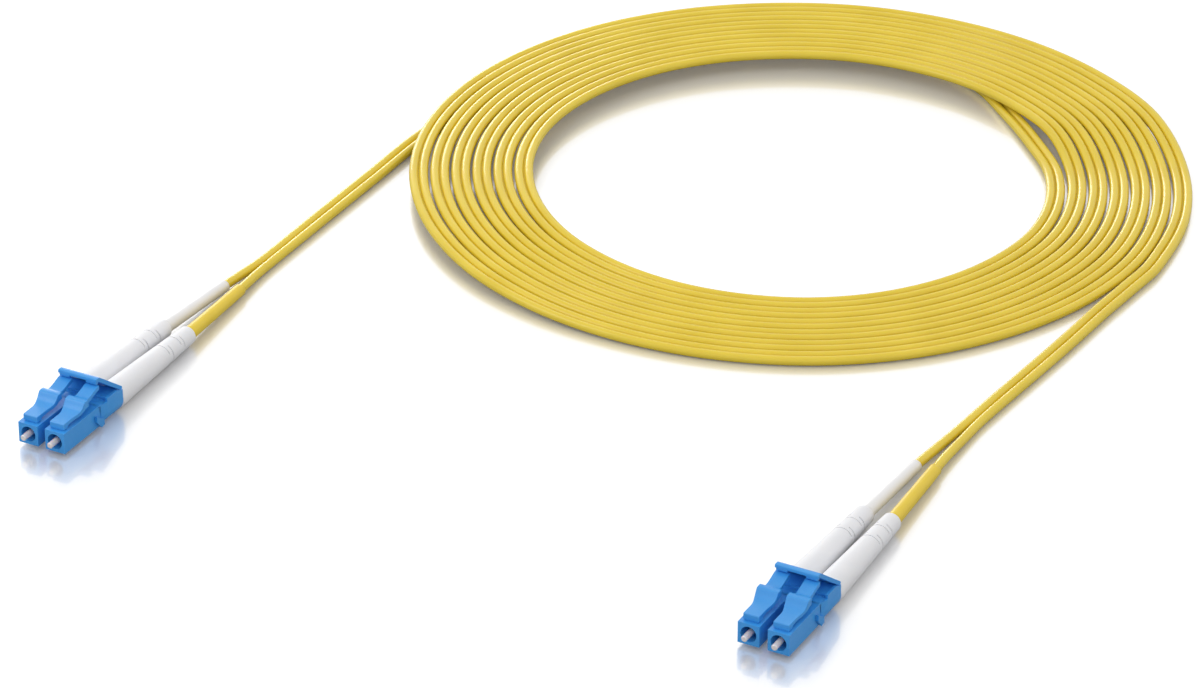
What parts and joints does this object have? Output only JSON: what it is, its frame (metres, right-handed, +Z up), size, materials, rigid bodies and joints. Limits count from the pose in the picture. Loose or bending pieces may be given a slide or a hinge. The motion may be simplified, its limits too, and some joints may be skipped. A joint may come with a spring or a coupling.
{
  "type": "fiber optic patch cord",
  "caption": "Coiled duplex fibre patch cord: twin yellow jacketed cord with a blue latched duplex plug pair, white boots and a white and a yellow marker sleeve at each end.",
  "frame": {"origin": "on the floor at the bottom centre of the box of the two connectors with their boots and marker sleeves", "axes": "+X from the first connector to the second, +Y from the noses to the coil, +Z up"},
  "size_m": [0.172, 0.2575, 0.0107],
  "materials": {
    "cable_jacket": "smooth yellow PVC cord jacket with a slight sheen",
    "blue_plastic": "moulded blue polymer, semi-gloss",
    "white_plastic": "white heat-shrink marker tube, satin",
    "yellow_plastic": "yellow heat-shrink marker tube, satin",
    "white_rubber": "white flexible moulded boot, matte",
    "zirconia": "polished white zirconia ceramic",
    "flange_steel": "turned steel",
    "spring_steel": "bright spring wire",
    "crimp_brass": "drawn tube",
    "fibre_buffer": "translucent tight buffer over glass fibre"
  },
  "bodies": {
    "cord": {"coil": "cable_jacket", "a_lead": "cable_jacket", "b_lead": "cable_jacket", "a_clip": "blue_plastic", "a_left_housing": "blue_plastic", "a_left_spring": "spring_steel", "a_left_rear_body": "blue_plastic", "a_left_crimp_sleeve": "crimp_brass", "a_left_boot": "white_rubber", "a_left_marker_sleeve": "white_plastic", "a_left_leg": "cable_jacket", "a_right_housing": "blue_plastic", "a_right_spring": "spring_steel", "a_right_rear_body": "blue_plastic", "a_right_crimp_sleeve": "crimp_brass", "a_right_boot": "white_rubber", "a_right_marker_sleeve": "yellow_plastic", "a_right_leg": "cable_jacket", "b_clip": "blue_plastic", "b_left_housing": "blue_plastic", "b_left_spring": "spring_steel", "b_left_rear_body": "blue_plastic", "b_left_crimp_sleeve": "crimp_brass", "b_left_boot": "white_rubber", "b_left_marker_sleeve": "white_plastic", "b_left_leg": "cable_jacket", "b_right_housing": "blue_plastic", "b_right_spring": "spring_steel", "b_right_rear_body": "blue_plastic", "b_right_crimp_sleeve": "crimp_brass", "b_right_boot": "white_rubber", "b_right_marker_sleeve": "yellow_plastic", "b_right_leg": "cable_jacket"},
    "a_trigger_arm": {"a_trigger": "blue_plastic"},
    "a_left_latch_arm": {"a_left_latch": "blue_plastic"},
    "a_left_ferrule_set": {"a_left_ferrule": "zirconia", "a_left_ferrule_flange": "flange_steel", "a_left_fibre": "fibre_buffer"},
    "a_right_latch_arm": {"a_right_latch": "blue_plastic"},
    "a_right_ferrule_set": {"a_right_ferrule": "zirconia", "a_right_ferrule_flange": "flange_steel", "a_right_fibre": "fibre_buffer"},
    "b_trigger_arm": {"b_trigger": "blue_plastic"},
    "b_left_latch_arm": {"b_left_latch": "blue_plastic"},
    "b_left_ferrule_set": {"b_left_ferrule": "zirconia", "b_left_ferrule_flange": "flange_steel", "b_left_fibre": "fibre_buffer"},
    "b_right_latch_arm": {"b_right_latch": "blue_plastic"},
    "b_right_ferrule_set": {"b_right_ferrule": "zirconia", "b_right_ferrule_flange": "flange_steel", "b_right_fibre": "fibre_buffer"}
  },
  "joints": [
    {"name": "a_trigger_hinge", "type": "hinge", "parent": "cord", "child": "a_trigger_arm", "pos_m": [-0.0794, -0.01655, 0.00595], "axis": [1, 0, 0], "range_deg": [0, 12], "stiffness_Nm_per_rad": 0.01, "springref_deg": -1.15},
    {"name": "a_left_latch_hinge", "type": "hinge", "parent": "cord", "child": "a_left_latch_arm", "pos_m": [-0.08253, -0.03475, 0.00604], "axis": [-1, 0, 0], "range_deg": [0, 6], "stiffness_Nm_per_rad": 0.01, "springref_deg": -0.57},
    {"name": "a_left_ferrule_slide", "type": "slide", "parent": "cord", "child": "a_left_ferrule_set", "axis": [0, 1, 0], "range_m": [0, 0.0008], "stiffness_N_per_m": 1000, "deforming": ["a_left_spring"]},
    {"name": "a_right_latch_hinge", "type": "hinge", "parent": "cord", "child": "a_right_latch_arm", "pos_m": [-0.07627, -0.03475, 0.00604], "axis": [-1, 0, 0], "range_deg": [0, 6], "stiffness_Nm_per_rad": 0.01, "springref_deg": -0.57},
    {"name": "a_right_ferrule_slide", "type": "slide", "parent": "cord", "child": "a_right_ferrule_set", "axis": [0, 1, 0], "range_m": [0, 0.0008], "stiffness_N_per_m": 1000, "deforming": ["a_right_spring"]},
    {"name": "b_trigger_hinge", "type": "hinge", "parent": "cord", "child": "b_trigger_arm", "pos_m": [0.0794, -0.01475, 0.00595], "axis": [1, 0, 0], "range_deg": [0, 12], "stiffness_Nm_per_rad": 0.01, "springref_deg": -1.15},
    {"name": "b_left_latch_hinge", "type": "hinge", "parent": "cord", "child": "b_left_latch_arm", "pos_m": [0.07627, -0.03295, 0.00604], "axis": [-1, 0, 0], "range_deg": [0, 6], "stiffness_Nm_per_rad": 0.01, "springref_deg": -0.57},
    {"name": "b_left_ferrule_slide", "type": "slide", "parent": "cord", "child": "b_left_ferrule_set", "axis": [0, 1, 0], "range_m": [0, 0.0008], "stiffness_N_per_m": 1000, "deforming": ["b_left_spring"]},
    {"name": "b_right_latch_hinge", "type": "hinge", "parent": "cord", "child": "b_right_latch_arm", "pos_m": [0.08253, -0.03295, 0.00604], "axis": [-1, 0, 0], "range_deg": [0, 6], "stiffness_Nm_per_rad": 0.01, "springref_deg": -0.57},
    {"name": "b_right_ferrule_slide", "type": "slide", "parent": "cord", "child": "b_right_ferrule_set", "axis": [0, 1, 0], "range_m": [0, 0.0008], "stiffness_N_per_m": 1000, "deforming": ["b_right_spring"]}
  ],
  "couplings": [
    {"joint": "a_left_latch_hinge", "follows": "a_trigger_hinge", "ratio": 0.46},
    {"joint": "a_right_latch_hinge", "follows": "a_trigger_hinge", "ratio": 0.46},
    {"joint": "b_left_latch_hinge", "follows": "b_trigger_hinge", "ratio": 0.46},
    {"joint": "b_right_latch_hinge", "follows": "b_trigger_hinge", "ratio": 0.46}
  ]
}
